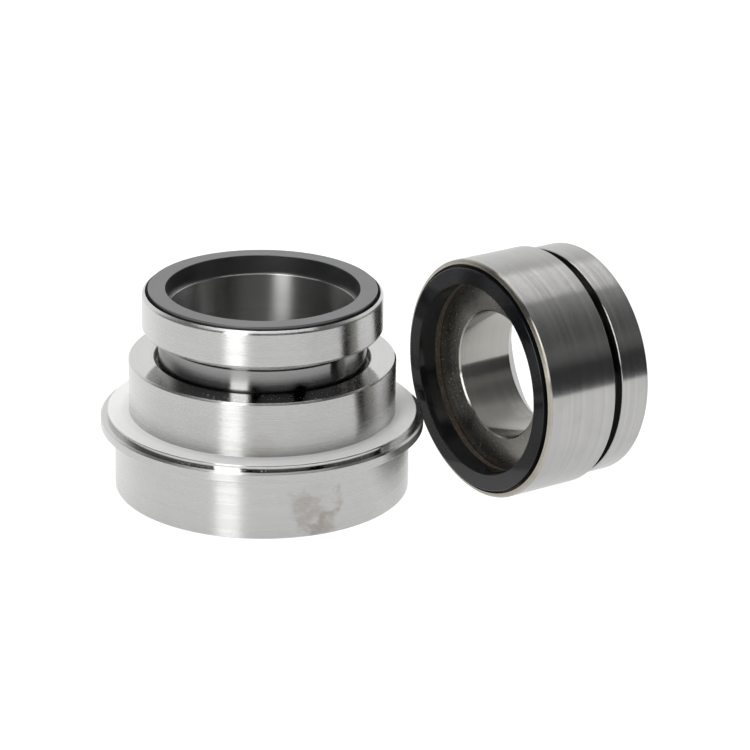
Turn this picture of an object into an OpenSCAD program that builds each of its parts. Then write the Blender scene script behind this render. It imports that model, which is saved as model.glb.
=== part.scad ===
// Component mechanical seal for a large slurry pump shaft, supplied as its two loose halves:
// a spring-loaded stationary head and the rotary mating unit that it runs against.
// The head stands on its base, and the mating unit lies on its side just clear of the head's rim.
// Units are millimetres. The origin is the centre of the head's base, with +Z towards the seal face.

/* [Seal faces] */
// Bore of both face rings
face_bore_d = 93.2; // [88:0.2:98]
// Radial width of the stationary lapped face
face_w = 8.35; // [7.4:0.05:10]
// Radial width of the rotary lapped face
mate_face_w = 8; // [7:0.05:10]
// How far each face stands proud of its metal lip
face_stand = 1.5; // [1:0.1:2.5]
// Height of the stationary face ring
face_ring_h = 9.2; // [8:0.1:11]
// Height of the rotary face ring
mate_ring_h = 9.5; // [8:0.1:11]
// Radial height of the stationary ring's seat for its seal
face_ring_step = 1.85; // [1.6:0.05:2.2]
// Small bevel on the lapped edges
lap_edge = 0.25; // [0.1:0.05:0.5]

/* [Face holder] */
// Radial width of the bright ledge inside the stationary ring
ledge_w = 1.6; // [0.8:0.1:3]
// Wall of the sleeve that slides in the housing
sleeve_wall = 5.2; // [4.6:0.1:7]
// Gap between a face ring and its metal lip
ring_gap = 1.35; // [1.2:0.05:1.6]
// Wall of the lip round the stationary ring
lip_wall = 1.56; // [1.3:0.02:3]
// Height of the head above its neck
head_h = 18.7; // [16:0.1:24]
// Clear neck between the housing and the head at rest
neck_show = 14.4; // [10:0.1:20]
// Height of the groove turned under the head
undercut_h = 3.8; // [2:0.1:5]
// Depth of the groove turned under the head
undercut_depth = 1.2; // [0.6:0.1:1.8]
// Width of each drive slot in the sleeve's lower end
slot_w = 4.4; // [4.3:0.1:6]

/* [Housing] */
// Gap between the neck and the housing's mouth
neck_gap = 1.95; // [1:0.05:3]
// Depth of the relieved mouth above the guide bore
mouth_h = 7.4; // [4:0.1:9]
// Wall of the upper barrel at its mouth
tower_wall = 12.31; // [11:0.01:16]
// Height of the upper barrel above the seat
tower_h = 26.7; // [24:0.1:34]
// Radial width of the raised seat round the upper barrel
seat_w = 10.39; // [8:0.01:14]
// Height of the raised seat above the rim
seat_h = 2.5; // [1:0.1:4]
// Radial width of the rim outside the seat, with its bevel
rim_w = 3.3; // [2:0.1:6]
// Straight height of the rim's edge
rim_h = 4.4; // [3:0.1:8]
// Bevel on top of the rim
rim_bevel = 0.8; // [0.3:0.1:1.2]
// Height of the lower barrel under the rim
barrel_h = 31; // [29:0.5:38]
// Wall of the lower barrel round the back plate
barrel_wall = 2.15; // [1.8:0.05:4]

/* [Secondary seals] */
// Section of the sliding O-ring on the sleeve
slide_cs = 5.33; // [4.5:0.01:5.6]
// Section of the O-ring round the stationary face ring
face_cs = 3.53; // [3.3:0.01:3.8]
// Thickness of the back-up ring beside the sliding O-ring
backup_t = 1.4; // [1:0.1:2]
// Height of the O-ring gland above the housing's inner shoulder
gland_rise = 10; // [6:0.5:12]

/* [Springs] */
// Number of springs
spring_n = 8; // [4:4:8]
// Outer diameter of a spring
spring_d = 7.4; // [6:0.1:7.6]
// Wire of a spring
wire_d = 1; // [0.8:0.1:1.2]
// Turns of a spring, with its closed ends
spring_turns = 7.5; // [5:0.5:8]
// Axial travel of the floating head
travel = 6; // [3:0.5:6.5]
// Radial distance from the sleeve to the springs' pitch circle
spring_inset = 4.8; // [4.5:0.1:6]
// Depth of the spring pockets in the back plate
pocket_depth = 5.5; // [3:0.1:6]

/* [Thrust ring and back plate] */
// Height of the spring chamber between the back plate and the shoulder
chamber_h = 27; // [26:0.5:30]
// Thickness of the back plate
plate_t = 9; // [8:0.5:11]
// Radial width of the shelf that the back plate is screwed to
shelf_w = 8.45; // [8:0.05:10]
// Thickness of the thrust ring's web under the springs' load
thrust_web = 5; // [4:0.1:6]
// Height of the thrust ring's stop rim
thrust_rim_h = 4; // [3.2:0.1:5]
// Thickness of the retaining ring
snap_t = 2; // [1.5:0.1:2.6]
// Depth of the retaining ring's groove in the sleeve
snap_depth = 1.8; // [1.2:0.1:2.2]
// Diameter of the drive pins
pin_d = 4; // [3:0.1:4]
// Length of the drive pins above the back plate
pin_show = 13; // [10:0.5:13]
// Major diameter of the plate screws
screw_d = 4; // [3:0.5:4]
// Length of the plate screws
screw_len = 16; // [14:1:20]

/* [Rotary unit] */
// Shaft bore of the rotary unit
shaft_d = 60; // [50:0.5:66]
// Overall length of the rotary unit from its lapped face
rotor_len = 61.5; // [58:0.5:80]
// Gap between the rotary ring and its metal lip
mate_gap = 1.4; // [1.2:0.05:1.8]
// Wall of the lip round the rotary ring
mate_lip_wall = 2.3; // [2:0.05:5]
// Thickness of the elastomer cup behind the rotary ring
cup_t = 3.7; // [2.5:0.1:5]
// Distance from the lapped face to the groove round the body
groove_at = 39.9; // [32:0.1:44]
// Width of the groove round the body
groove_w = 5.6; // [3:0.1:8]
// Depth of the groove round the body
groove_depth = 6.8; // [3:0.1:9]
// Radial step down to the collar behind the groove
collar_step = 1.95; // [0.5:0.05:4]
// Bevel at both ends of the shaft bore
bore_bevel = 1.7; // [0.5:0.1:2.5]
// Section of the O-ring in the rear face
rear_cs = 3.53; // [3:0.01:4]
// Mean diameter of the O-ring in the rear face
rear_ring_d = 78; // [75:0.5:80]
// Diameter of the rear drive holes
drive_hole_d = 6.5; // [5:0.1:8]
// Pitch circle of the rear drive holes
drive_pcd = 94; // [93:0.5:98]

/* [Lying place of the rotary unit] */
// Turn of the rotary unit's axis about the vertical
rotor_yaw = 34.59; // [20:0.5:50]
// Gap between the head's rim and the plane of the rotary face
rotor_clear = 0.34; // [0.3:0.01:4]
// Shift of the rotary unit along the plane of its face
rotor_shift = 66.19; // [55:0.1:80]

/* [Hidden] */
$fn = 96;
// Radial clearance of the sleeve in its guide, and of the sliding O-ring on the sleeve
run_gap = 0.05;
// Clearance of pieces that are pressed or screwed home
fit_gap = 0.02;
// Play round loose-fitting pieces
play = 0.15;
// Edge break on turned corners
edge = 0.4;
// Bevel on the upper barrel's mouth, along and across
tower_bevel_h = 0.9;
tower_bevel_w = 0.76;
// Shaping of the floating head's edge: under-bevel, upper bevel and crowned lip
under_bevel_h = 1.5;
under_bevel_w = 1.06;
upper_bevel_h = 0.8;
upper_bevel_w = 0.36;
lip_crown_h = 0.9;
lip_land = 0.15;
pocket_lead = 0.3;
// Chamfer at the sleeve's lower end
sleeve_lead_h = 2;
sleeve_lead_w = 1;
// Shaping of the rotary unit's lip: land, crowned slope and edge
mate_land = 0.2;
mate_crown_h = 0.8;
mate_edge_h = 0.6;
mate_edge_w = 0.55;
// Bevel on the seat cup's inner edges
cup_bevel = 0.5;
// Set-back of the seat cup's bore from the ring's bore
cup_set_back = 0.3;

face_bore_r = face_bore_d / 2;
face_r = face_bore_r + face_w;
pocket_r = face_r + ring_gap;
head_r = pocket_r + lip_wall;
sleeve_bore_r = face_bore_r - ledge_w;
sleeve_r = sleeve_bore_r + sleeve_wall;
guide_r = sleeve_r + run_gap;
mouth_r = sleeve_r + neck_gap;
tower_r = mouth_r + tower_wall;
seat_r = tower_r + seat_w;
rim_r = seat_r + rim_w;

rim_top_z = barrel_h + rim_h + rim_bevel;
seat_z = rim_top_z + seat_h;
housing_h = seat_z + tower_h;
face_z = housing_h + neck_show + head_h + face_stand;
lip_z = face_z - face_stand;
pocket_z = face_z - face_ring_h;
head_z = lip_z - head_h;

spring_circle_r = sleeve_r + spring_inset;
pocket_play = 0.4;
chamber_play = 2;
chamber_r = spring_circle_r + spring_d / 2 + chamber_play;
plate_seat_r = chamber_r + shelf_w;
barrel_r = plate_seat_r + barrel_wall;
screw_circle_r = chamber_r + shelf_w / 2;
shoulder_z = plate_t + chamber_h;

stop_gap = 0.05;
thrust_top_z = shoulder_z - stop_gap;
snap_z = thrust_top_z - thrust_rim_h;
thrust_z = snap_z - thrust_web;
thrust_pocket = 1;
snap_floor_r = sleeve_r - snap_depth;
snap_width = 4.9;
snap_mouth = 10;
snap_play = 1;
thrust_play = 0.4;
sleeve_stop_gap = 1;
slot_end_gap = 1.5;
sleeve_z = plate_t + travel + sleeve_stop_gap;
slot_top_z = plate_t + pin_show + travel + slot_end_gap;
pin_circle_r = sleeve_bore_r + sleeve_wall / 2;
pin_n = 4;
pin_sink = 6.5;
pin_turn = 22.5;
screw_n = 4;
screw_turn = 45;
screw_play = 0.1;
screw_head_share = 0.94;
screw_socket_share = 0.72;
screw_socket_depth_share = 0.75;
screw_head_r = screw_d * screw_head_share;

gland_z = shoulder_z + gland_rise;
gland_squeeze = 0.87;
gland_room = 1.15;
slide_ring_place = 0.55;
gland_depth = slide_cs * gland_squeeze;
gland_r = sleeve_r + gland_depth;
gland_h = backup_t + slide_cs * gland_room;

lock_pin_d = 3;
lock_pin_r = face_bore_r + (face_w - face_ring_step) / 2;
lock_pin_sink = 3;
lock_pin_show = 2.2;
seal_seat_r = face_r - face_ring_step;
seal_seat_play = 0.7;
seal_seat_h = face_cs + seal_seat_play;
lock_hole_play = 0.5;

mate_r = face_bore_r + mate_face_w;
mate_pocket_r = mate_r + mate_gap;
rotor_r = mate_pocket_r + mate_lip_wall;
shoulder_s = mate_ring_h + cup_t;
shaft_r = shaft_d / 2;
groove_end = groove_at + groove_w;
collar_r = rotor_r - collar_step;
cup_lip_s = 4;
rear_groove_width_share = 1.25;
rear_groove_depth_share = 0.79;
rear_groove_w = rear_cs * rear_groove_width_share;
rear_groove_depth = rear_cs * rear_groove_depth_share;
rear_ring_r = rear_ring_d / 2;
drive_hole_depth = 9;

// Copies of a feature on a circle round the head's axis
module around(count, radius, turn = 0) {
    for (i = [0:count - 1])
        rotate([0, 0, turn + i * 360 / count])
            translate([radius, 0, 0])
                children();
}

// O-ring squeezed between two round walls, so that its section has flat sides
module squeezed_ring(inner_r, outer_r, section, mid_z) {
    rotate_extrude()
        translate([(inner_r + outer_r) / 2, mid_z])
            intersection() {
                circle(d = section);
                square([outer_r - inner_r, section], center = true);
            }
}

// Upright hole or pin from one height to another
module upright(radius, low, high) {
    translate([0, 0, low])
        cylinder(r = radius, h = high - low);
}

// Turned housing: stepped barrels, rim and raised seat outside; guide, gland and chamber inside
module housing() {
    color([0.78, 0.78, 0.77])
        difference() {
            rotate_extrude()
                polygon([
                    [plate_seat_r, 0],
                    [barrel_r - edge, 0],
                    [barrel_r, edge],
                    [barrel_r, barrel_h],
                    [rim_r - edge, barrel_h],
                    [rim_r, barrel_h + edge],
                    [rim_r, barrel_h + rim_h],
                    [rim_r - rim_bevel, rim_top_z],
                    [seat_r, rim_top_z],
                    [seat_r, seat_z - edge],
                    [seat_r - edge, seat_z],
                    [tower_r, seat_z],
                    [tower_r, housing_h - tower_bevel_h],
                    [tower_r - tower_bevel_w, housing_h],
                    [mouth_r + edge, housing_h],
                    [mouth_r, housing_h - edge],
                    [mouth_r, housing_h - mouth_h + neck_gap - run_gap],
                    [guide_r, housing_h - mouth_h],
                    [guide_r, gland_z + gland_h],
                    [gland_r, gland_z + gland_h],
                    [gland_r, gland_z],
                    [guide_r, gland_z],
                    [guide_r, shoulder_z],
                    [chamber_r, shoulder_z],
                    [chamber_r, plate_t],
                    [plate_seat_r, plate_t]
                ]);
            around(screw_n, screw_circle_r, screw_turn)
                upright(screw_d / 2, plate_t - 1, screw_len + 3);
        }
}

// Disc that closes the spring chamber and carries the springs and drive pins
module back_plate() {
    color([0.7, 0.7, 0.7])
        difference() {
            rotate_extrude()
                polygon([
                    [sleeve_bore_r + 1, 0],
                    [plate_seat_r - fit_gap - edge, 0],
                    [plate_seat_r - fit_gap, edge],
                    [plate_seat_r - fit_gap, plate_t],
                    [sleeve_bore_r, plate_t],
                    [sleeve_bore_r, 1]
                ]);
            around(spring_n, spring_circle_r)
                upright(spring_d / 2 + pocket_play, plate_t - pocket_depth, plate_t + 1);
            around(pin_n, pin_circle_r, pin_turn)
                upright(pin_d / 2 + fit_gap, plate_t - pin_sink, plate_t + 1);
            around(screw_n, screw_circle_r, screw_turn) {
                upright(screw_d / 2 + screw_play, -1, plate_t + 1);
                cylinder(
                    r1 = screw_head_r + fit_gap,
                    r2 = screw_d / 2,
                    h = screw_head_r - screw_d / 2 + fit_gap
                );
            }
        }
}

// Countersunk socket screws that hold the back plate
module plate_screws() {
    cone_h = screw_head_r - screw_d / 2;
    color([0.35, 0.35, 0.36])
        around(screw_n, screw_circle_r, screw_turn)
            difference() {
                rotate_extrude()
                    polygon([
                        [0, 0],
                        [screw_head_r, 0],
                        [screw_d / 2 - fit_gap, cone_h],
                        [screw_d / 2 - fit_gap, screw_len - edge],
                        [screw_d / 2 - fit_gap - edge, screw_len],
                        [0, screw_len]
                    ]);
                translate([0, 0, -1])
                    cylinder(
                        d = screw_d * screw_socket_share,
                        h = 1 + cone_h * screw_socket_depth_share,
                        $fn = 6
                    );
            }
}

// Pins that stand in the back plate and keep the sleeve from turning
module drive_pins() {
    top_z = plate_t + pin_show;
    color([0.6, 0.6, 0.62])
        around(pin_n, pin_circle_r, pin_turn)
            rotate_extrude()
                polygon([
                    [0, plate_t - pin_sink],
                    [pin_d / 2, plate_t - pin_sink],
                    [pin_d / 2, top_z - edge],
                    [pin_d / 2 - edge, top_z],
                    [0, top_z]
                ]);
}

// Floating head: pocket for the face ring, undercut neck and guided sleeve in one turned piece
module face_holder() {
    color([0.8, 0.8, 0.79])
        difference() {
            rotate_extrude()
                polygon([
                    [sleeve_bore_r, sleeve_z],
                    [sleeve_r - sleeve_lead_w, sleeve_z],
                    [sleeve_r, sleeve_z + sleeve_lead_h],
                    [sleeve_r, snap_z - run_gap],
                    [snap_floor_r, snap_z - run_gap],
                    [snap_floor_r, snap_z + snap_t],
                    [sleeve_r, snap_z + snap_t],
                    [sleeve_r, head_z - undercut_h],
                    [sleeve_r - undercut_depth, head_z - undercut_h],
                    [sleeve_r - undercut_depth, head_z],
                    [head_r - under_bevel_w, head_z],
                    [head_r, head_z + under_bevel_h],
                    [head_r, lip_z - lip_crown_h - upper_bevel_h],
                    [head_r - upper_bevel_w, lip_z - lip_crown_h],
                    [pocket_r + lip_land, lip_z],
                    [pocket_r, lip_z],
                    [pocket_r, pocket_z],
                    [sleeve_bore_r + pocket_lead, pocket_z],
                    [sleeve_bore_r, pocket_z - pocket_lead]
                ]);
            around(1, lock_pin_r)
                upright(lock_pin_d / 2 + fit_gap, pocket_z - lock_pin_sink, pocket_z + 1);
            around(pin_n, pin_circle_r, pin_turn) {
                translate([-sleeve_wall, -slot_w / 2, sleeve_z - 1])
                    cube([sleeve_wall * 2, slot_w, slot_top_z - slot_w / 2 - sleeve_z + 1]);
                translate([0, 0, slot_top_z - slot_w / 2])
                    rotate([0, 90, 0])
                        cylinder(d = slot_w, h = sleeve_wall * 2, center = true);
            }
        }
}

// Stationary face ring, stepped under its lapped flange for the seal that carries it
module face_ring() {
    color([0.16, 0.17, 0.18])
        difference() {
            rotate_extrude()
                polygon([
                    [face_bore_r, pocket_z],
                    [seal_seat_r - edge, pocket_z],
                    [seal_seat_r, pocket_z + edge],
                    [seal_seat_r, pocket_z + seal_seat_h],
                    [face_r, pocket_z + seal_seat_h],
                    [face_r, face_z - lap_edge],
                    [face_r - lap_edge, face_z],
                    [face_bore_r + lap_edge, face_z],
                    [face_bore_r, face_z - lap_edge]
                ]);
            around(1, lock_pin_r)
                upright(lock_pin_d / 2 + play, pocket_z - 1, pocket_z + lock_pin_show + lock_hole_play);
        }
}

// O-ring that centres and seals the stationary face ring in its pocket
module face_ring_oring() {
    color([0.1, 0.1, 0.1])
        squeezed_ring(seal_seat_r + fit_gap, pocket_r - fit_gap, face_cs, pocket_z + seal_seat_h / 2);
}

// Pin that keeps the stationary face ring from turning in its pocket
module ring_lock_pin() {
    color([0.6, 0.6, 0.62])
        around(1, lock_pin_r)
            upright(lock_pin_d / 2, pocket_z - lock_pin_sink, pocket_z + lock_pin_show);
}

// O-ring that seals the sliding sleeve in the housing
module slide_oring() {
    ring_z = gland_z + gland_h - slide_cs * slide_ring_place;
    color([0.1, 0.1, 0.1])
        squeezed_ring(sleeve_r + run_gap, gland_r - fit_gap, slide_cs, ring_z);
}

// Flat ring that backs the sliding O-ring on its dry side
module backup_ring() {
    color([0.92, 0.92, 0.9])
        rotate_extrude()
            translate([sleeve_r + run_gap, gland_z])
                square([gland_depth - run_gap - fit_gap, backup_t]);
}

// Ring that takes the springs' load to the retaining ring and stops on the housing's shoulder
module thrust_ring() {
    outer_r = chamber_r - thrust_play;
    rim_inner_r = snap_floor_r + snap_width + snap_play;
    color([0.68, 0.68, 0.68])
        difference() {
            rotate_extrude()
                polygon([
                    [sleeve_r + play, thrust_z],
                    [outer_r - edge, thrust_z],
                    [outer_r, thrust_z + edge],
                    [outer_r, thrust_top_z - edge],
                    [outer_r - edge, thrust_top_z],
                    [rim_inner_r, thrust_top_z],
                    [rim_inner_r, snap_z],
                    [sleeve_r + play, snap_z]
                ]);
            around(spring_n, spring_circle_r)
                upright(spring_d / 2 + pocket_play, thrust_z - 1, thrust_z + thrust_pocket);
        }
}

// Split ring in the sleeve's groove, with rounded ends at its mouth
module retaining_ring() {
    inner_r = snap_floor_r + fit_gap;
    outer_r = snap_floor_r + snap_width;
    color([0.3, 0.3, 0.31])
        translate([0, 0, snap_z])
            difference() {
                cylinder(r = outer_r, h = snap_t);
                translate([0, 0, -1])
                    cylinder(r = inner_r, h = snap_t + 2);
                translate([0, -snap_mouth / 2, -1])
                    cube([outer_r + 1, snap_mouth, snap_t + 2]);
            }
}

// Pitch of the closed end turns and depth ground off the ends, as shares of the wire
closed_pitch = 1.06;
ground_off = 0.2;

// Height of the wire's centre after some turns, with end turns that lie nearly wire to wire
function rise(turn, height) =
    let (closed = wire_d * closed_pitch, open = height - 2 * closed)
    turn < 1 ? closed * turn
    : turn > spring_turns - 1 ? height - closed * (spring_turns - turn)
    : closed + open * (turn - 1) / (spring_turns - 2);

// Coil spring between two flat seats, with its end turns closed and ground
module coil_spring(low, high) {
    steps = 16;
    sides = 6;
    grind = wire_d * ground_off;
    coil_r = (spring_d - wire_d) / 2;
    rings = steps * spring_turns;
    points = [
        for (k = [0:rings], j = [0:sides - 1])
            let (
                a = k * 360 / steps,
                b = j * 360 / sides,
                r = coil_r + cos(b) * wire_d / 2,
                z = low + grind + rise(k / steps, high - low - 2 * grind) + sin(b) * wire_d / 2
            )
            [r * cos(a), r * sin(a), min(max(z, low), high)]
    ];
    skin = [
        for (k = [0:rings - 1], j = [0:sides - 1])
            let (n = (j + 1) % sides)
            each [
                [k * sides + j, k * sides + n, (k + 1) * sides + n],
                [k * sides + j, (k + 1) * sides + n, (k + 1) * sides + j]
            ]
    ];
    start_cap = [for (j = [sides - 1:-1:0]) j];
    end_cap = [for (j = [0:sides - 1]) rings * sides + j];
    polyhedron(points, concat([start_cap, end_cap], skin), convexity = 8);
}

// One of the springs between the back plate and the thrust ring
module head_spring(i) {
    color([0.75, 0.74, 0.7])
        rotate([0, 0, (i - 1) * 360 / spring_n])
            translate([spring_circle_r, 0, 0])
                coil_spring(plate_t - pocket_depth, thrust_z + thrust_pocket);
}

// Puts a piece of the rotary unit, drawn upright from its lapped face, on its side by the head
module lying() {
    rotate([0, 0, rotor_yaw])
        translate([rim_r + rotor_clear, -rotor_shift, rotor_r])
            rotate([0, 90, 0])
                children();
}

// Turned rotary body: ring pocket, shaft bore, deep groove and collar in one piece
module rotary_body() {
    color([0.76, 0.76, 0.75])
        lying()
            difference() {
                rotate_extrude()
                    polygon([
                        [shaft_r, shoulder_s + bore_bevel],
                        [shaft_r + bore_bevel, shoulder_s],
                        [mate_pocket_r, shoulder_s],
                        [mate_pocket_r, face_stand],
                        [mate_pocket_r + mate_land, face_stand],
                        [rotor_r - mate_edge_w, face_stand + mate_crown_h],
                        [rotor_r, face_stand + mate_crown_h + mate_edge_h],
                        [rotor_r, groove_at - edge],
                        [rotor_r - edge, groove_at],
                        [rotor_r - groove_depth, groove_at],
                        [rotor_r - groove_depth, groove_end],
                        [collar_r - edge, groove_end],
                        [collar_r, groove_end + edge],
                        [collar_r, rotor_len - 2 * edge],
                        [collar_r - 2 * edge, rotor_len],
                        [shaft_r + bore_bevel, rotor_len],
                        [shaft_r, rotor_len - bore_bevel]
                    ]);
                rotate_extrude()
                    translate([rear_ring_r - rear_groove_w / 2, rotor_len - rear_groove_depth])
                        square([rear_groove_w, rear_groove_depth + 1]);
                around(2, drive_pcd / 2)
                    upright(drive_hole_d / 2, rotor_len - drive_hole_depth, rotor_len + 1);
            }
}

// Rotary face ring
module rotary_ring() {
    color([0.16, 0.17, 0.18])
        lying()
            rotate_extrude()
                polygon([
                    [face_bore_r + lap_edge, 0],
                    [mate_r - lap_edge, 0],
                    [mate_r, lap_edge],
                    [mate_r, mate_ring_h],
                    [face_bore_r, mate_ring_h],
                    [face_bore_r, lap_edge]
                ]);
}

// Elastomer cup that seats the rotary ring, with an L section and bevelled inner edges
module seat_cup() {
    inner_r = face_bore_r + cup_set_back;
    color([0.36, 0.26, 0.19])
        lying()
            rotate_extrude()
                polygon([
                    [inner_r, mate_ring_h + cup_bevel],
                    [inner_r + cup_bevel, mate_ring_h],
                    [mate_r + fit_gap, mate_ring_h],
                    [mate_r + fit_gap, cup_lip_s],
                    [mate_pocket_r - fit_gap, cup_lip_s],
                    [mate_pocket_r - fit_gap, shoulder_s],
                    [inner_r + cup_bevel, shoulder_s],
                    [inner_r, shoulder_s - cup_bevel]
                ]);
}

// O-ring in the groove of the rear face, standing a little proud of it
module rear_oring() {
    color([0.1, 0.1, 0.1])
        lying()
            rotate_extrude()
                translate([rear_ring_r, rotor_len - rear_groove_depth + rear_cs / 2])
                    circle(d = rear_cs);
}

housing();
back_plate();
plate_screws();
drive_pins();
face_holder();
face_ring();
face_ring_oring();
ring_lock_pin();
slide_oring();
backup_ring();
thrust_ring();
retaining_ring();
for (i = [1:spring_n])
    head_spring(i);
rotary_body();
rotary_ring();
seat_cup();
rear_oring();
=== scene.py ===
import math

import bmesh
import bpy
from mathutils import Matrix, Vector


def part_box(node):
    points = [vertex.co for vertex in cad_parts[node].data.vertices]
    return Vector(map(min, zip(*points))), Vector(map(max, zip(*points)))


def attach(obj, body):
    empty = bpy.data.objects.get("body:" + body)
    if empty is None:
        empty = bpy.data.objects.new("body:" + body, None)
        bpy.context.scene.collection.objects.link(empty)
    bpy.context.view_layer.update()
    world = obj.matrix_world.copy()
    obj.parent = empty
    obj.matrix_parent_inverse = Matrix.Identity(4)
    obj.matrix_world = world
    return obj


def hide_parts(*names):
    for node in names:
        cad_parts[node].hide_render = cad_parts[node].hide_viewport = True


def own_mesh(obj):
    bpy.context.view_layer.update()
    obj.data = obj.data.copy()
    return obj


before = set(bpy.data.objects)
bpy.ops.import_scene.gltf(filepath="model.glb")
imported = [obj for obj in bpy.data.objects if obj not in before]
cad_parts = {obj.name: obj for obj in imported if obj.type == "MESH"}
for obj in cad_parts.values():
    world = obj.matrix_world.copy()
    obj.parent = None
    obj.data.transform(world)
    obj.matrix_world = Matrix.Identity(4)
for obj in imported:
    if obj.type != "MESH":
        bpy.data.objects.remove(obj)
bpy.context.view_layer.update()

# Camera: at the photograph's height and distance in front of the pair, looking down a little
# and leaning by one degree, so that the square picture holds both units.
camera_data = bpy.data.cameras.new("camera")
camera_data.sensor_width = 36
camera_data.lens = 158.4
camera = bpy.data.objects.new("camera", camera_data)
bpy.context.scene.collection.objects.link(camera)
look_down = math.radians(90 - 21.17)
lean = math.radians(1.05)
camera.matrix_world = (
    Matrix.Translation((0.05431, -1.48466, 0.63097))
    @ Matrix.Rotation(look_down, 4, "X")
    @ Matrix.Rotation(lean, 4, "Z")
)
bpy.context.scene.camera = camera

# Studio: a pale light table that runs out of the picture on every side, a room that is bright
# behind and dark at the camera's side and to the right, and one tall strip at the front left.
bpy.context.scene.view_settings.view_transform = "Standard"


def wire(tree, kind, inputs=(), **settings):
    """Adds a shader node to the tree, with its settings, values and incoming links."""
    made = tree.nodes.new(kind)
    for key, value in settings.items():
        setattr(made, key, value)
    for key, value in dict(inputs).items():
        if isinstance(value, bpy.types.NodeSocket):
            tree.links.new(value, made.inputs[key])
        else:
            made.inputs[key].default_value = value
    return made


def sums(tree, operation, *values):
    """One Math node on the given values or sockets."""
    return wire(tree, "ShaderNodeMath", dict(enumerate(values)), operation=operation).outputs[0]


def spread(tree, value, low, high, to_low=0.0, to_high=1.0, kind="SMOOTHSTEP"):
    """Carries a value from low..high over to another range, smoothly."""
    return wire(tree, "ShaderNodeMapRange", {0: value, 1: low, 2: high, 3: to_low, 4: to_high},
                interpolation_type=kind).outputs[0]


room = bpy.data.worlds.new("soft_room")
room.use_nodes = True
room_tree = room.node_tree
room_tree.nodes.clear()
toward = wire(room_tree, "ShaderNodeTexCoord").outputs["Generated"]
split = wire(room_tree, "ShaderNodeSeparateXYZ", {0: toward})
front = sums(room_tree, "MULTIPLY", split.outputs["Y"], -1.0)
round_angle = sums(room_tree, "ARCTAN2", split.outputs["X"], front)
up_angle = sums(room_tree, "ARCSINE", split.outputs["Z"])


def patch(az_from, az_to, az_soft, el_from, el_to, el_soft):
    """One inside a window of azimuth and elevation in degrees, fading over the soft widths."""
    sides = []
    for angle, low, high, soft in (
        (round_angle, az_from, az_to, az_soft), (up_angle, el_from, el_to, el_soft),
    ):
        low, high, soft = (math.radians(a) for a in (low, high, soft))
        rise = spread(room_tree, angle, low - soft, low)
        fall = spread(room_tree, angle, high, high + soft, 1.0, 0.0)
        sides.append(sums(room_tree, "MULTIPLY", rise, fall))
    return sums(room_tree, "MULTIPLY", *sides)


even_light = wire(room_tree, "ShaderNodeValue")
even_light.outputs[0].default_value = 0.32
total = even_light.outputs[0]
# each patch: azimuth from, to, softness; elevation from, to, softness; light added
for *window, light in (
    (118, 180, 22, -90, 30, 30, 0.78),
    (-180, -128, 22, -90, 30, 30, 0.78),
    (44, 100, 12, -90, 62, 10, -0.24),
    (60, 100, 10, 20, 28, 6, 0.12),
    (-8, 44, 10, -90, 60, 10, -0.24),
    (-100, -8, 14, -90, 60, 10, -0.2),
):
    total = sums(room_tree, "MULTIPLY_ADD", patch(*window), light, total)
room_glow = wire(room_tree, "ShaderNodeBackground", {"Color": total})
wire(room_tree, "ShaderNodeOutputWorld", {"Surface": room_glow.outputs[0]})
bpy.context.scene.world = room


def built(name, bm):
    """Turns a finished bmesh into an object in the scene."""
    mesh = bpy.data.meshes.new(name)
    bm.to_mesh(mesh)
    bm.free()
    made = bpy.data.objects.new(name, mesh)
    bpy.context.scene.collection.objects.link(made)
    return made


def fresh_material(name):
    """A new material with its node tree and its shader."""
    made = bpy.data.materials.new(name)
    made.use_nodes = True
    return made, made.node_tree, made.node_tree.nodes["Principled BSDF"]


bm = bmesh.new()
bmesh.ops.create_grid(bm, x_segments=1, y_segments=1, size=6.0)
table_top = built("table_top", bm)
table_white, table_tree, table_shader = fresh_material("table_white")
table_shader.inputs["Base Color"].default_value = (0.25, 0.25, 0.25, 1)
table_shader.inputs["Roughness"].default_value = 0.8
table_shader.inputs["Specular IOR Level"].default_value = 0.1
# the table glows from below, except under the head that stands on its middle
dark_within = 0.066
full_from = 0.0712
table_glow = 0.95
table_place = wire(table_tree, "ShaderNodeTexCoord").outputs["Object"]
from_head = wire(table_tree, "ShaderNodeVectorMath", {0: table_place}, operation="LENGTH")
glow = spread(table_tree, from_head.outputs["Value"], dark_within, full_from, 0.0,
              table_glow)
table_shader.inputs["Emission Color"].default_value = (1, 1, 1, 1)
table_tree.links.new(glow, table_shader.inputs["Emission Strength"])
table_top.data.materials.append(table_white)

# a dark card stands on the table to the right, outside the picture
card_width = 0.9
card_height = 0.22
card_away = 0.6
card_way = math.radians(75)
rotary_middle_x = 0.12
bm = bmesh.new()
bmesh.ops.create_grid(bm, x_segments=1, y_segments=1, size=0.5)
bmesh.ops.scale(bm, verts=bm.verts[:], vec=(card_width, card_height, 1))
for angle, axis in ((math.radians(90), "X"), (card_way, "Z")):
    bmesh.ops.rotate(bm, verts=bm.verts[:], cent=(0, 0, 0),
                     matrix=Matrix.Rotation(angle, 3, axis))
bmesh.ops.translate(bm, verts=bm.verts[:], vec=(
    rotary_middle_x + card_away * math.sin(card_way), -card_away * math.cos(card_way),
    card_height / 2))
dark_card = built("dark_card", bm)
dark_card.visible_camera = False
card_black, _, card_shader = fresh_material("card_black")
card_shader.inputs["Base Color"].default_value = (0.03, 0.03, 0.032, 1)
card_shader.inputs["Roughness"].default_value = 0.9
dark_card.data.materials.append(card_black)


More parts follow.
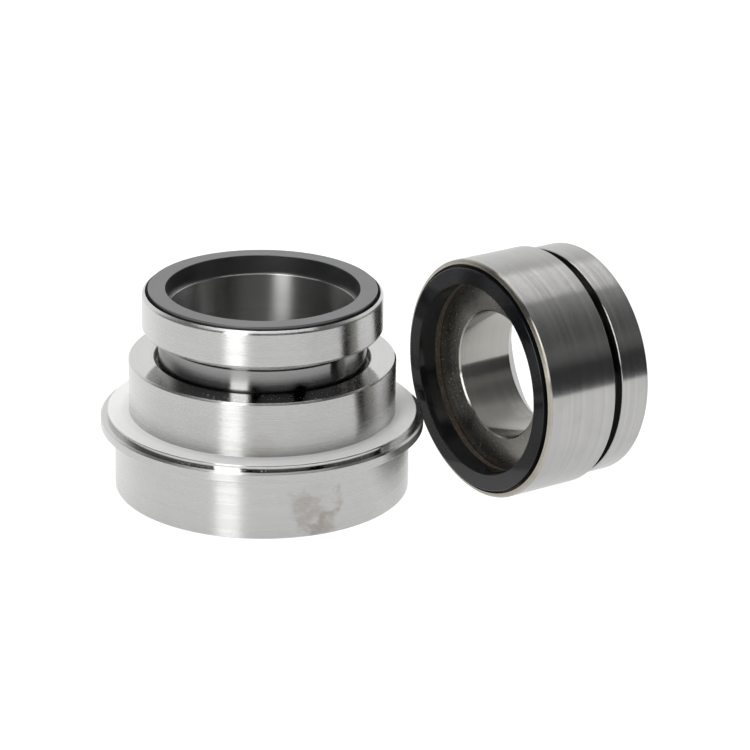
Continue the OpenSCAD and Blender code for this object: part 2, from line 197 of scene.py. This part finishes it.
def soft_box(name, place, aim, width, height, radiance):
    """A flat soft light of the given radiance, turned towards a point."""
    lamp = bpy.data.lights.new(name, "AREA")
    lamp.shape = "RECTANGLE"
    lamp.size = width
    lamp.size_y = height
    lamp.energy = radiance * width * height * math.pi
    made = bpy.data.objects.new(name, lamp)
    made.location = place
    made.rotation_euler = (Vector(aim) - Vector(place)).to_track_quat("-Z", "Y").to_euler()
    bpy.context.scene.collection.objects.link(made)
    return made


soft_box("overhead_box", place=(-0.1, 0.3, 1.9), aim=(0.05, 0, 0), width=1.6, height=1.2,
         radiance=3.1)
soft_box("front_strip", place=(-0.66, -1.55, 0.82), aim=(0, 0, 0.05), width=0.57, height=1.6,
         radiance=5.4)

# Housing of the stationary head: one steel turning with a lower barrel, a thin rim, a raised
# seat and an upper barrel outside, and the guide bore, O-ring gland and spring chamber inside.
MM = 0.001
ROUND_STEPS = 360


def spun(name, outline, rounding, cuts=(), place=None):
    """Spins a closed outline of (radius, height) points in millimetres, its corners rounded."""
    bm = bmesh.new()
    points = [bm.verts.new((r * MM, 0, z * MM)) for r, z in outline]
    for near, far in zip(points, points[1:] + points[:1]):
        bm.edges.new((near, far))
    bmesh.ops.bevel(bm, geom=points, offset=rounding * MM, offset_type="OFFSET", segments=2,
                    profile=0.5, affect="VERTICES", clamp_overlap=True, material=-1)
    bmesh.ops.spin(bm, geom=bm.verts[:] + bm.edges[:], cent=(0, 0, 0), axis=(0, 0, 1),
                   angle=math.tau, steps=ROUND_STEPS, use_merge=True)
    bmesh.ops.recalc_face_normals(bm, faces=bm.faces[:])
    for face in bm.faces:
        face.smooth = True
    piece = built(name, bm)
    for number, cutter in enumerate(cuts):
        cut = piece.modifiers.new(f"cut_{number}", "BOOLEAN")
        cut.operation = "DIFFERENCE"
        cut.solver = "EXACT"
        cut.object = cutter
    if cuts:
        seen = piece.evaluated_get(bpy.context.evaluated_depsgraph_get())
        whole = bpy.data.meshes.new_from_object(seen)
        piece.modifiers.clear()
        piece.data = whole
        for cutter in cuts:
            bpy.data.objects.remove(cutter)
    if place is not None:
        piece.data.transform(place)
    even = piece.modifiers.new("even_shading", "WEIGHTED_NORMAL")
    even.keep_sharp = True
    return piece


def drill(radius, low, high, centre):
    """A round upright cutter in millimetres."""
    bm = bmesh.new()
    bmesh.ops.create_cone(bm, cap_ends=True, segments=48, radius1=radius * MM,
                          radius2=radius * MM, depth=(high - low) * MM)
    bmesh.ops.translate(bm, verts=bm.verts[:],
                        vec=(centre[0] * MM, centre[1] * MM, (low + high) / 2 * MM))
    return built("cutter", bm)


def dress(piece, finishes, pick):
    """Gives each face the finish that pick names for its middle's radius and height in mm."""
    for finish in finishes:
        piece.data.materials.append(finish)
    for face in piece.data.polygons:
        x, y, z = face.center / MM
        face.material_index = finishes.index(pick(math.hypot(x, y), z))


def blended(tree, factor, first, second):
    """The first colour where the factor is nought, the second where it is one."""
    made = wire(tree, "ShaderNodeMix", {0: factor}, data_type="RGBA")
    for place, colour in ((6, first), (7, second)):
        if isinstance(colour, bpy.types.NodeSocket):
            tree.links.new(colour, made.inputs[place])
        else:
            made.inputs[place].default_value = (*colour, 1)
    return made.outputs[2]


def turned_metal(name, dark, light, roughness, groove_depth, cloud=0.06, stains=(), specks=0.0,
                 place=Matrix()):
    """Steel with the lathe's fine lines round its axis, which draw reflections out along it."""
    made, tree, shader = fresh_material(name)
    where = wire(tree, "ShaderNodeTexCoord").outputs["Object"]
    centre = tuple(place.translation)
    local = wire(tree, "ShaderNodeMapping", {0: where, "Location": centre,
                                             "Rotation": place.to_euler()},
                 vector_type="TEXTURE").outputs[0]
    off_axis = wire(tree, "ShaderNodeVectorMath", {0: where, 1: centre}, operation="SUBTRACT")
    flat = wire(tree, "ShaderNodeVectorMath", {0: local, 1: (1, 1, 0)}, operation="MULTIPLY")
    outward = wire(tree, "ShaderNodeVectorMath", {0: flat.outputs[0]}, operation="NORMALIZE")
    radius = wire(tree, "ShaderNodeVectorMath", {0: flat.outputs[0]}, operation="LENGTH")
    height = wire(tree, "ShaderNodeSeparateXYZ", {0: local}).outputs["Z"]
    # walls and end faces are both crossed by this measure, so both get rings
    along = sums(tree, "MULTIPLY_ADD", radius.outputs["Value"], 0.83, height)

    def lines(per_metre, length, detail):
        """Noise in rings: fine across the turning lines and long along them."""
        rise = wire(tree, "ShaderNodeCombineXYZ", {2: sums(tree, "MULTIPLY", along, per_metre)})
        round_it = wire(tree, "ShaderNodeVectorMath", {0: outward.outputs[0], "Scale": length},
                        operation="SCALE")
        point = wire(tree, "ShaderNodeVectorMath", {0: round_it.outputs[0], 1: rise.outputs[0]},
                     operation="ADD")
        return wire(tree, "ShaderNodeTexNoise",
                    {"Vector": point.outputs[0], "Scale": 1.0, "Detail": detail}).outputs["Fac"]

    fine = lines(per_metre=3000, length=0.12, detail=3.0)
    broad = lines(per_metre=380, length=0.1, detail=3.0)
    soft = wire(tree, "ShaderNodeTexNoise", {"Vector": where, "Scale": 60.0, "Detail": 4.0,
                                             "Roughness": 0.6}).outputs["Fac"]
    ringed = sums(tree, "MULTIPLY_ADD", fine, 0.5, broad)
    tone = spread(tree, ringed, 0.5, 1.0, kind="LINEAR")
    colour = blended(tree, tone, dark, light)
    # handling marks, stains and specks of dust
    smear = spread(tree, soft, 0.42, 0.7, 0.0, cloud)
    colour = blended(tree, smear, colour, tuple(c * 0.5 for c in dark))
    for spot, reach_mm, amount, tint in stains:
        reach = reach_mm * MM
        ragged = sums(tree, "MULTIPLY_ADD", soft, reach * 5.0, -2.5 * reach)
        off = wire(tree, "ShaderNodeVectorMath", {0: where, 1: tuple(c * MM for c in spot)},
                   operation="DISTANCE")
        away = sums(tree, "ADD", off.outputs["Value"], ragged)
        mask = spread(tree, away, reach * 0.25, reach, amount, 0.0)
        colour = blended(tree, mask, colour, tint)
    gloss = spread(tree, broad, 0.3, 0.7, roughness * 0.92, roughness * 1.08, kind="LINEAR")
    if specks:
        dust = wire(tree, "ShaderNodeTexNoise", {"Vector": where, "Scale": 1000.0,
                                                 "Detail": 1.0})
        dots = spread(tree, dust.outputs["Fac"], 0.7, 0.74, 0.0, specks)
        colour = blended(tree, dots, colour, (0.8, 0.78, 0.74))
        gloss = sums(tree, "MULTIPLY_ADD", dots, 0.7, gloss)
    tree.links.new(colour, shader.inputs["Base Color"])
    tree.links.new(gloss, shader.inputs["Roughness"])
    grooves = wire(tree, "ShaderNodeBump", {"Height": fine, "Distance": groove_depth,
                                            "Strength": 1.0})
    tree.links.new(grooves.outputs[0], shader.inputs["Normal"])
    tangent = wire(tree, "ShaderNodeVectorMath", {
        0: tuple(place.to_3x3() @ Vector((0, 0, 1))), 1: off_axis.outputs[0],
    }, operation="CROSS_PRODUCT")
    tree.links.new(tangent.outputs[0], shader.inputs["Tangent"])
    shader.inputs["Metallic"].default_value = 1.0
    shader.inputs["Anisotropic"].default_value = 1.0
    shader.inputs["Anisotropic Rotation"].default_value = 0.25
    return made


screw_circle = 64.925
screw_angles = [math.radians(degrees) for degrees in (45, 135, 225, 315)]
housing = spun("housing_turning", (
    (69.15, 0), (70.9, 0), (71.3, 0.4), (71.3, 31), (77.75, 31), (78.15, 31.4), (78.15, 35.4),
    (77.35, 36.2), (74.85, 36.2), (74.85, 38.3), (74.45, 38.7), (64.46, 38.7), (64.46, 64.5),
    (63.7, 65.4), (52.55, 65.4), (52.15, 65.0), (52.15, 59.9), (50.25, 58), (50.25, 53.53),
    (54.84, 53.53), (54.84, 46), (50.25, 46), (50.25, 36), (60.7, 36), (60.7, 9), (69.15, 9),
), rounding=0.1, cuts=[
    drill(radius=2, low=8, high=19,
          centre=(screw_circle * math.cos(angle), screw_circle * math.sin(angle)))
    for angle in screw_angles
])
housing_turned = turned_metal(
    "housing_turned_steel", (0.52, 0.52, 0.51), (0.57, 0.57, 0.56), 0.27, 2.5e-5, stains=(
        ((26, -66, 15), 13, 0.45, (0.3, 0.26, 0.22)),
        ((32, -63.5, 5), 8, 0.5, (0.3, 0.26, 0.22)),
        ((2, -64.4, 45), 9, 0.2, (0.36, 0.3, 0.25)),
    ))
housing_polished = turned_metal("housing_polished_steel", (0.5, 0.5, 0.495),
                                (0.56, 0.56, 0.555), 0.13, 2e-6, cloud=0.02, specks=0.45)
housing_faced = turned_metal("housing_faced_steel", (0.88, 0.88, 0.875), (0.93, 0.93, 0.925),
                             0.6, 5e-6, cloud=0.03)
faced_shader = housing_faced.node_tree.nodes["Principled BSDF"]
faced_shader.inputs["Metallic"].default_value = 0.1
faced_shader.inputs["Anisotropic"].default_value = 0.0


def housing_finish(radius, height):
    """Polished top face and seat wall, faced seat, and turned elsewhere."""
    if height > 65.2 and radius < 63.8:
        return housing_polished
    if 38.6 < height < 38.8 and radius > 64.5:
        return housing_faced
    if 36.1 < height < 38.6 and 74.8 < radius < 77.3:
        return housing_polished
    return housing_turned


dress(housing, (housing_turned, housing_polished, housing_faced), housing_finish)
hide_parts("housing")
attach(housing, "stationary_parts")

# Back plate, its countersunk socket screws and its drive pins: turned and ground steel at the
# foot of the housing. They keep their CAD shapes and get their finishes here.
def give(node, finish):
    """Puts a finish on a CAD node's own object."""
    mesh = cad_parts[node].data
    mesh.materials.clear()
    mesh.materials.append(finish)


give("back_plate", turned_metal("plate_faced_steel", (0.46, 0.46, 0.455), (0.54, 0.54, 0.535),
                                0.34, 3e-5))


def plain_steel(name, dark, light, roughness, pitch):
    """Drawn or ground steel: a faint even cloud in its colour and gloss, and a fine grain."""
    made, tree, shader = fresh_material(name)
    where = wire(tree, "ShaderNodeTexCoord").outputs["Object"]
    cloud = wire(tree, "ShaderNodeTexNoise", {"Vector": where, "Scale": 130.0, "Detail": 4.0})
    grain = wire(tree, "ShaderNodeTexNoise", {"Vector": where, "Scale": pitch, "Detail": 2.0})
    tone = spread(tree, cloud.outputs["Fac"], 0.3, 0.7)
    tree.links.new(blended(tree, tone, dark, light), shader.inputs["Base Color"])
    gloss = spread(tree, grain.outputs["Fac"], 0.3, 0.7, roughness * 0.85, roughness * 1.15)
    tree.links.new(gloss, shader.inputs["Roughness"])
    skin = wire(tree, "ShaderNodeBump", {"Height": grain.outputs["Fac"], "Distance": 4e-6,
                                         "Strength": 1.0})
    tree.links.new(skin.outputs[0], shader.inputs["Normal"])
    shader.inputs["Metallic"].default_value = 1.0
    return made


give("plate_screws", plain_steel("screw_black_steel", (0.1, 0.1, 0.105), (0.17, 0.17, 0.175),
                                 0.4, 2400.0))
give("drive_pins", plain_steel("pin_ground_steel", (0.5, 0.5, 0.5), (0.6, 0.6, 0.6), 0.22,
                               3000.0))

# Springs: eight coils of drawn spring wire with closed and ground ends, standing in pockets of
# the back plate under the thrust ring. In the seal they shorten as the floating head is pressed
# in; here they are built at one length.
def coil(name, foot, head, place):
    """A spring of 1 mm wire in seven and a half turns, 7.4 mm across, from foot to head."""
    steps_a_turn = 24
    wire_radius = 0.5 * MM
    coil_radius = 3.2 * MM
    ground_off = 0.2 * MM
    end_rise = 1.06 * MM
    open_turns = 5.5
    open_rise = head - foot - 2 * ground_off - 2 * end_rise
    bm = bmesh.new()
    bmesh.ops.create_circle(bm, cap_ends=True, segments=12, radius=wire_radius,
                            matrix=Matrix.Translation((coil_radius, 0, foot + ground_off))
                            @ Matrix.Rotation(math.pi / 2, 4, "X"))
    tip = bm.faces[:]
    for turns, rise in ((1, end_rise), (open_turns, open_rise), (1, end_rise)):
        steps = int(turns * steps_a_turn)
        wound = bmesh.ops.spin(bm, geom=tip, cent=(0, 0, 0), axis=(0, 0, 1),
                               dvec=(0, 0, rise / steps), angle=turns * math.tau, steps=steps)
        tip = wound["geom_last"]
    # Both ends are ground flat.
    for vert in bm.verts:
        vert.co.z = min(max(vert.co.z, foot), head)
    bmesh.ops.recalc_face_normals(bm, faces=bm.faces[:])
    for face in bm.faces:
        face.smooth = len(face.verts) == 4
    piece = built(name, bm)
    piece.data.transform(place)
    return piece


spring_wire = plain_steel("spring_drawn_wire", (0.3, 0.3, 0.31), (0.44, 0.44, 0.45), 0.3, 2600.0)
spring_foot, spring_head = (corner[2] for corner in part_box("spring_1"))
spring_count = 8
spring_circle = 55 * MM
for number in range(1, spring_count + 1):
    way = Matrix.Rotation((number - 1) * math.tau / spring_count, 4, "Z")
    spring = coil(f"spring_coil_{number}", spring_foot, spring_head,
                  way @ Matrix.Translation((spring_circle, 0, 0)))
    spring.data.materials.append(spring_wire)
    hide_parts(f"spring_{number}")
    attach(spring, "stationary_parts")
    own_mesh(spring)

# Thrust ring and retaining ring: the turned follower on the springs, and the split
# spring-steel ring that ties it to the sleeve.
give("thrust_ring", turned_metal("follower_turned_steel", (0.45, 0.45, 0.445),
                                 (0.53, 0.53, 0.525), 0.3, 3e-5))
give("retaining_ring", plain_steel("snap_spring_steel", (0.2, 0.2, 0.21), (0.3, 0.3, 0.31),
                                   0.35, 2400.0))

# Sliding seal: a black rubber O-ring in the housing's gland, and the white flat ring behind it
# that keeps it from being pushed out.
def moulded(name, dark, light, roughness, pitch):
    """Rubber or plastic out of a mould: matte, with a slight bloom and a fine grain."""
    made, tree, shader = fresh_material(name)
    where = wire(tree, "ShaderNodeTexCoord").outputs["Object"]
    bloom = wire(tree, "ShaderNodeTexNoise", {"Vector": where, "Scale": 160.0, "Detail": 4.0})
    grain = wire(tree, "ShaderNodeTexNoise", {"Vector": where, "Scale": pitch, "Detail": 2.0})
    tone = spread(tree, bloom.outputs["Fac"], 0.35, 0.7)
    tree.links.new(blended(tree, tone, dark, light), shader.inputs["Base Color"])
    gloss = spread(tree, bloom.outputs["Fac"], 0.3, 0.7, roughness * 0.88, roughness * 1.12)
    tree.links.new(gloss, shader.inputs["Roughness"])
    skin = wire(tree, "ShaderNodeBump", {"Height": grain.outputs["Fac"], "Distance": 8e-6,
                                         "Strength": 1.0})
    tree.links.new(skin.outputs[0], shader.inputs["Normal"])
    return made


oring_rubber = moulded("oring_black_rubber", (0.012, 0.012, 0.012), (0.03, 0.03, 0.03), 0.5,
                       1800.0)
give("slide_oring", oring_rubber)
give("backup_ring", moulded("backup_white_plastic", (0.68, 0.68, 0.65), (0.78, 0.78, 0.76),
                            0.45, 1500.0))

# Face holder: the floating head, a steel turning with a pocket for the face ring, an undercut
# neck, and a sleeve that slides in the housing and has four slots for the drive pins.
slot_circle = 47.6 * MM
slot_top = 27.3 * MM
slot_radius = 2.2 * MM
slot_depth = 10.4 * MM
past_the_end = 14 * MM
slots = []
for degrees in (22.5, 112.5, 202.5, 292.5):
    turn = math.radians(degrees)
    lay = Matrix.Rotation(turn, 3, "Z") @ Matrix.Rotation(math.radians(90), 3, "Y")
    bm = bmesh.new()
    bmesh.ops.create_cone(bm, cap_ends=True, segments=48, radius1=slot_radius,
                          radius2=slot_radius, depth=slot_depth)
    lower = [v for v in bm.verts if v.co.x > 1e-6]
    bmesh.ops.translate(bm, verts=lower, vec=(past_the_end, 0, 0))
    bmesh.ops.rotate(bm, verts=bm.verts[:], cent=(0, 0, 0), matrix=lay)
    bmesh.ops.translate(bm, verts=bm.verts[:], vec=(
        slot_circle * math.cos(turn), slot_circle * math.sin(turn), slot_top))
    slots.append(built("slot_cutter", bm))
holder = spun("holder_turning", (
    (45, 16), (49.2, 16), (50.2, 18), (50.2, 31.9), (48.4, 31.9), (48.4, 33.95), (50.2, 33.95),
    (50.2, 76), (49.0, 76), (49.0, 79.8), (56.8, 79.8), (57.86, 81.3), (57.86, 96.8),
    (57.5, 97.6), (56.45, 98.5), (56.3, 98.5), (56.3, 90.8), (45.3, 90.8), (45, 90.5),
), rounding=0.1, cuts=slots)
holder_turned = turned_metal("holder_turned_steel", (0.53, 0.53, 0.52), (0.58, 0.58, 0.57),
                             0.27, 2.5e-5)
# the neck and sleeve take a darker copy of the turned steel: painted shade under the head's
# overhang
holder_sleeve_painted_shade = turned_metal("holder_sleeve_painted_shade_steel", (0.24, 0.24, 0.238), (0.28, 0.28, 0.277),
                             0.17, 1.5e-5, cloud=0.03)
holder_bore = turned_metal("holder_bore_steel", (0.5, 0.5, 0.495), (0.56, 0.56, 0.555), 0.34,
                           5e-5, cloud=0.03)


def holder_finish(radius, height):
    """Smooth bore, polished neck and sleeve in a darker copy of the steel that paints the shade
    under the head, and turned head.
    """
    if radius < 46:
        return holder_bore
    return holder_sleeve_painted_shade if height < 79.9 else holder_turned


dress(holder, (holder_turned, holder_sleeve_painted_shade, holder_bore), holder_finish)
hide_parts("face_holder")
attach(holder, "floating_head")

# Stationary face ring: black silicon carbide, lapped flat and matte on top and ground on its
# bore, carried by an O-ring in the holder's pocket and stepped under its flange.
def lapped_carbide(name, dark, light, roughness, ior):
    """Silicon carbide: near black, with the fine even grain of a lapped face."""
    made, tree, shader = fresh_material(name)
    where = wire(tree, "ShaderNodeTexCoord").outputs["Object"]
    grain = wire(tree, "ShaderNodeTexNoise", {"Vector": where, "Scale": 2200.0, "Detail": 2.0})
    cloud = wire(tree, "ShaderNodeTexNoise", {"Vector": where, "Scale": 55.0, "Detail": 3.0})
    mixed = sums(tree, "MULTIPLY_ADD", grain.outputs["Fac"], 0.6, cloud.outputs["Fac"])
    tone = spread(tree, mixed, 0.5, 1.1)
    tree.links.new(blended(tree, tone, dark, light), shader.inputs["Base Color"])
    gloss = spread(tree, cloud.outputs["Fac"], 0.3, 0.7, roughness * 0.9, roughness * 1.1)
    tree.links.new(gloss, shader.inputs["Roughness"])
    shader.inputs["IOR"].default_value = ior
    return made


face_ring = spun("face_ring_lapped", (
    (46.6, 90.8), (52.7, 90.8), (53.1, 91.2), (53.1, 95.03), (54.95, 95.03), (54.95, 99.75),
    (54.7, 100), (46.85, 100), (46.6, 99.75),
), rounding=0.06, cuts=[drill(radius=1.65, low=89.8, high=93.5, centre=(49.85, 0))])
face_ring.data.materials.append(lapped_carbide(
    "face_black_carbide", (0.014, 0.015, 0.017), (0.026, 0.027, 0.03), 0.34, 2.1))
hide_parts("face_ring")
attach(face_ring, "floating_head")

# O-ring and lock pin of the face ring: the rubber ring centres it in the pocket, and a ground
# pin pressed into the pocket's floor keeps it from turning.
give("face_ring_oring", oring_rubber)
give("ring_lock_pin", plain_steel("lock_pin_ground_steel", (0.5, 0.5, 0.5), (0.6, 0.6, 0.6),
                                  0.22, 3000.0))

# Rotary body: the mating unit's steel turning, with a pocket for its ring, the shaft bore, a
# deep groove, a collar, and an open rear end with an O-ring and two drive holes in its floor.
# It lies on its side, its lapped face to the head.
LAID = (
    Matrix.Rotation(math.radians(34.59), 4, "Z")
    @ Matrix.Translation((78.49 * MM, -66.19 * MM, 58.3 * MM))
    @ Matrix.Rotation(math.radians(90), 4, "Y")
)
drive_hole_circle = 46.4
rotary = spun("rotary_turning", (
    (31, 13.95), (31.75, 13.2), (56, 13.2), (56, 1.5), (56.2, 1.5), (57.75, 2.3), (58.3, 2.9),
    (58.3, 39.5), (57.9, 39.9), (51.5, 39.9), (51.5, 45.5), (55.95, 45.5), (56.35, 45.9),
    (56.35, 60.7), (55.55, 61.5), (54, 61.5), (50, 57.5), (50, 51), (50.4, 51), (50.4, 49.5),
    (42.506, 49.5), (42.506, 46.711), (38.094, 46.711), (38.094, 49.5), (37.5, 49.5), (31, 43),
), rounding=0.08, cuts=[
    drill(radius=2.75, low=40.5, high=50.5, centre=(side * drive_hole_circle, 0))
    for side in (-1, 1)
])
rotary_turned = turned_metal("rotary_turned_steel", (0.37, 0.367, 0.36),
                             (0.44, 0.437, 0.43), 0.22, 3e-5, cloud=0.12, place=LAID)
rotary_polished = turned_metal("rotary_polished_steel", (0.36, 0.35, 0.325),
                               (0.42, 0.41, 0.385), 0.2, 8e-6, cloud=0.05, place=LAID)
rotary_shoulder = turned_metal("rotary_shoulder_steel", (0.33, 0.32, 0.29),
                               (0.4, 0.385, 0.35), 0.24, 8e-6, cloud=0.2, specks=0.22,
                               place=LAID)
# the deep groove takes a near-black copy of the steel: painted shade in the recess
rotary_groove_painted_shade = turned_metal("rotary_groove_painted_shade_steel", (0.09, 0.088, 0.085),
                             (0.14, 0.137, 0.133), 0.24, 2e-5, place=LAID)
rotary_lip = turned_metal("rotary_lip_steel", (0.24, 0.215, 0.175), (0.5, 0.475, 0.43), 0.24, 2e-5,
                          cloud=0.3, place=LAID)


def rotary_finish(radius, height):
    """Groove darkened with painted shade, brownish lip, dusty pocket, polished bore, and turned
    outside and rear.
    """
    if 39.8 < height < 45.6 and radius > 51.4:
        return rotary_groove_painted_shade
    if 55.9 < radius and height < 2.85:
        return rotary_lip
    if radius > 31.8 and height < 14:
        return rotary_shoulder
    return rotary_polished if radius < 57 and height < 45 else rotary_turned


dress(rotary, (rotary_turned, rotary_polished, rotary_groove_painted_shade, rotary_lip, rotary_shoulder),
      rotary_finish)
rotary.data.transform(LAID)

# the O-ring that seals the shaft sleeve's flange lies in the groove of the socket's floor
rear_mean = 40.3
rear_height = 48.476
rear_section = 1.765
rear_sides = 16
rear_angles = [side * math.tau / rear_sides for side in range(rear_sides)]
rear_ring = spun("rear_ring_moulded", [
    (rear_mean + rear_section * math.cos(angle), rear_height + rear_section * math.sin(angle))
    for angle in rear_angles
], rounding=0.2, place=LAID)
rear_ring.modifiers.clear()
rear_ring.data.materials.append(oring_rubber)
bpy.context.view_layer.objects.active = rotary
both = [rotary, rear_ring]
with bpy.context.temp_override(active_object=rotary, selected_editable_objects=both):
    bpy.ops.object.join()
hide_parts("rotary_body", "rear_oring")
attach(rotary, "stationary_parts")

# Rotary face ring: the same black silicon carbide, lapped on the face that runs against the
# head, seated in its pocket on the elastomer cup.
rotary_ring = spun("rotary_ring_lapped", (
    (46.85, 0), (54.35, 0), (54.6, 0.25), (54.6, 9.5), (46.6, 9.5), (46.6, 0.25),
), rounding=0.06, place=LAID)
rotary_ring.data.materials.append(lapped_carbide(
    "rotary_black_carbide", (0.005, 0.0055, 0.0065), (0.011, 0.0115, 0.013), 0.12, 1.36))
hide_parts("rotary_ring")
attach(rotary_ring, "stationary_parts")

# Seat cup: a thin moulded cup of brown elastomer that seals the rotary ring and holds it in its
# pocket. Its lip shows as the dusty brown line behind the ring.
seat_cup = spun("seat_cup_moulded", (
    (46.9, 10), (47.4, 9.5), (54.62, 9.5), (54.62, 4), (55.98, 4), (55.98, 13.2), (47.4, 13.2),
    (46.9, 12.7),
), rounding=0.1, place=LAID)
cup_brown, cup_tree, cup_shader = fresh_material("cup_brown_elastomer")
cup_where = wire(cup_tree, "ShaderNodeTexCoord").outputs["Object"]
cup_dust = wire(cup_tree, "ShaderNodeTexNoise", {"Vector": cup_where, "Scale": 700.0,
                                                 "Detail": 4.0})
cup_tone = spread(cup_tree, cup_dust.outputs["Fac"], 0.4, 0.75)
cup_tree.links.new(blended(cup_tree, cup_tone, (0.05, 0.035, 0.024), (0.11, 0.09, 0.065)),
                   cup_shader.inputs["Base Color"])
cup_shader.inputs["Roughness"].default_value = 0.6
seat_cup.data.materials.append(cup_brown)
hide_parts("seat_cup")
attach(seat_cup, "stationary_parts")
